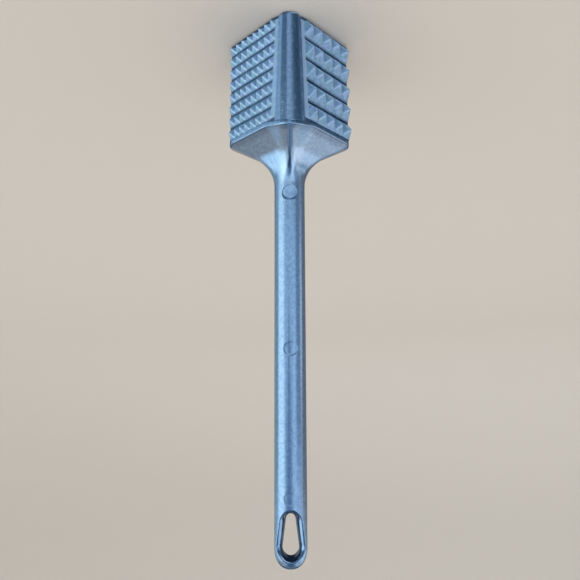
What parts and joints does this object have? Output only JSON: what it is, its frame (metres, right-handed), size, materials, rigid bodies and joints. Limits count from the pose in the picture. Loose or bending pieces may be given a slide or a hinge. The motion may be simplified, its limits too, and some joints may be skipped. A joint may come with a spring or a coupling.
{
  "type": "meat mallet",
  "caption": "Cast aluminium meat mallet: square head with coarse and fine pyramid teeth, flared neck, slim round handle and a hang slot.",
  "frame": {"origin": "centre of the flat end face of the head, which is the lowest face", "axes": "+Z along the handle to its hang slot, -Y towards the rounded corner column that faced the camera, +X towards the side corner where the mould halves meet"},
  "size_m": [0.0628, 0.0618, 0.255],
  "materials": {
    "head_casting": "as-cast, tumbled, bluish silver, satin",
    "handle_casting": "as-cast, tumbled, bluish silver, satin"
  },
  "bodies": {
    "root": {"head": "head_casting", "handle": "handle_casting"}
  },
  "joints": []
}
